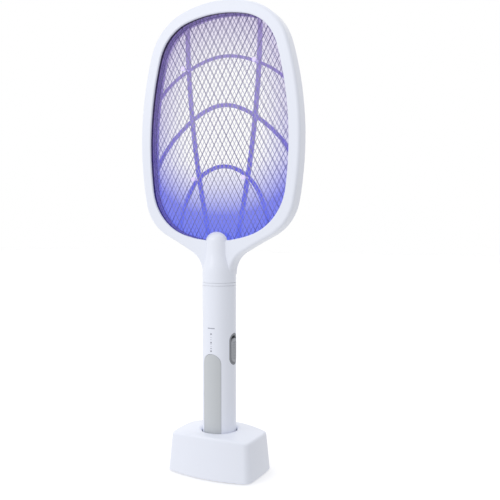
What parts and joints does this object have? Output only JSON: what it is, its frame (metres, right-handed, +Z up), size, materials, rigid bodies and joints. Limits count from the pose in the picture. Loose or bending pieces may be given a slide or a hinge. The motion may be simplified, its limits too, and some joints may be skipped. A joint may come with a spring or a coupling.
{
  "type": "electric fly swatter",
  "caption": "Racket-shaped electric fly swatter with layered wire mesh, violet lamps, press bar and mode switch, standing in a charging dock",
  "frame": {"origin": "centre of the dock's underside, on the surface it stands on", "axes": "+Z up along the handle, -Y the front face of the head, X across the head"},
  "size_m": [0.1912, 0.07, 0.4982],
  "materials": {
    "shell_white": "satin moulded ABS, cool white",
    "bar_grey": "soft satin grey",
    "insulator_dark": "dark insulating plastic",
    "insulator_pale": "pale insulating plastic",
    "mesh_steel": "bright drawn wire",
    "switch_dark": "dark grey moulded",
    "knob_grey": "ribbed mid grey",
    "lens_clear": "frosted translucent",
    "uv_lamp": "violet lamp epoxy",
    "indicator": "smoked light pipes",
    "inner_plastic": "plain moulded",
    "zinc_steel": "zinc plated",
    "board_green": "solder mask",
    "contact_brass": "plated",
    "black_plastic": "moulded epoxy",
    "ferrite": "sintered ferrite",
    "winding_copper": "taped winding",
    "capacitor_film": "dipped film",
    "resistor_body": "coated",
    "cell_wrap": "shrink sleeve",
    "foot_rubber": "matt rubber",
    "lead_red": "insulation"
  },
  "bodies": {
    "dock": {"dock_base_plate": "inner_plastic", "dock_charge_board": "board_green", "dock_feet": "foot_rubber", "dock_pin_sockets": "contact_brass", "dock_screws": "zinc_steel", "dock_shell": "shell_white", "dock_weights": "zinc_steel", "usb_inlet": "zinc_steel"},
    "dock_pin_left": {"dock_pin_left": "contact_brass"},
    "dock_pin_right": {"dock_pin_right": "contact_brass"},
    "press_bar": {"press_bar": "bar_grey", "press_bar_spring": "zinc_steel"},
    "trigger_plunger": {"trigger_plunger": "black_plastic"},
    "mode_knob": {"mode_knob": "knob_grey"},
    "racket": {"battery_cell": "cell_wrap", "battery_contacts": "contact_brass", "battery_cradle": "inner_plastic", "battery_leads": "lead_red", "charge_pads": "contact_brass", "control_board": "board_green", "control_chip": "black_plastic", "discharge_resistors": "resistor_body", "front_bezel": "insulator_dark", "front_mesh": "mesh_steel", "front_spacer": "insulator_pale", "handle_end_cap": "shell_white", "handle_front_shell": "shell_white", "handle_rear_shell": "shell_white", "handle_screws": "zinc_steel", "head_front_frame": "shell_white", "head_rear_frame": "shell_white", "head_screws": "zinc_steel", "hv_capacitors": "capacitor_film", "hv_diodes": "black_plastic", "indicator_lights": "indicator", "lamp_board": "board_green", "lamp_leads": "lead_red", "lamp_lens": "lens_clear", "mesh_leads": "lead_red", "mesh_posts": "inner_plastic", "middle_mesh": "mesh_steel", "mode_switch_body": "inner_plastic", "neck_ring": "shell_white", "neck_sleeve": "inner_plastic", "press_bar_pin": "zinc_steel", "rear_bezel": "insulator_pale", "rear_mesh": "mesh_steel", "rear_spacer": "insulator_pale", "switch_plate": "switch_dark", "transformer_core": "ferrite", "transformer_winding": "winding_copper", "trigger_switch": "black_plastic", "uv_lamps": "uv_lamp"}
  },
  "joints": [
    {"name": "racket_lift", "type": "slide", "parent": "dock", "child": "racket", "axis": [0, 0, 1], "range_m": [0, 0.06]},
    {"name": "bar_press", "type": "hinge", "parent": "racket", "child": "press_bar", "pos_m": [0, -0.01, 0.019], "axis": [-1, 0, 0], "range_deg": [0, 0.8], "stiffness_Nm_per_rad": 2, "springref_deg": -2.86},
    {"name": "plunger_press", "type": "slide", "parent": "racket", "child": "trigger_plunger", "axis": [0, 1, 0], "range_m": [0, 0.00127]},
    {"name": "mode_slide", "type": "slide", "parent": "racket", "child": "mode_knob", "axis": [0, 0, 1], "range_m": [0, 0.0028]},
    {"name": "pin_left_press", "type": "slide", "parent": "dock", "child": "dock_pin_left", "axis": [0, 0, -1], "range_m": [0, 0.0009], "stiffness_N_per_m": 400, "springref_m": -0.0005},
    {"name": "pin_right_press", "type": "slide", "parent": "dock", "child": "dock_pin_right", "axis": [0, 0, -1], "range_m": [0, 0.0009], "stiffness_N_per_m": 400, "springref_m": -0.0005}
  ],
  "couplings": [
    {"joint": "plunger_press", "follows": "bar_press", "m_per_rad": 0.091}
  ]
}
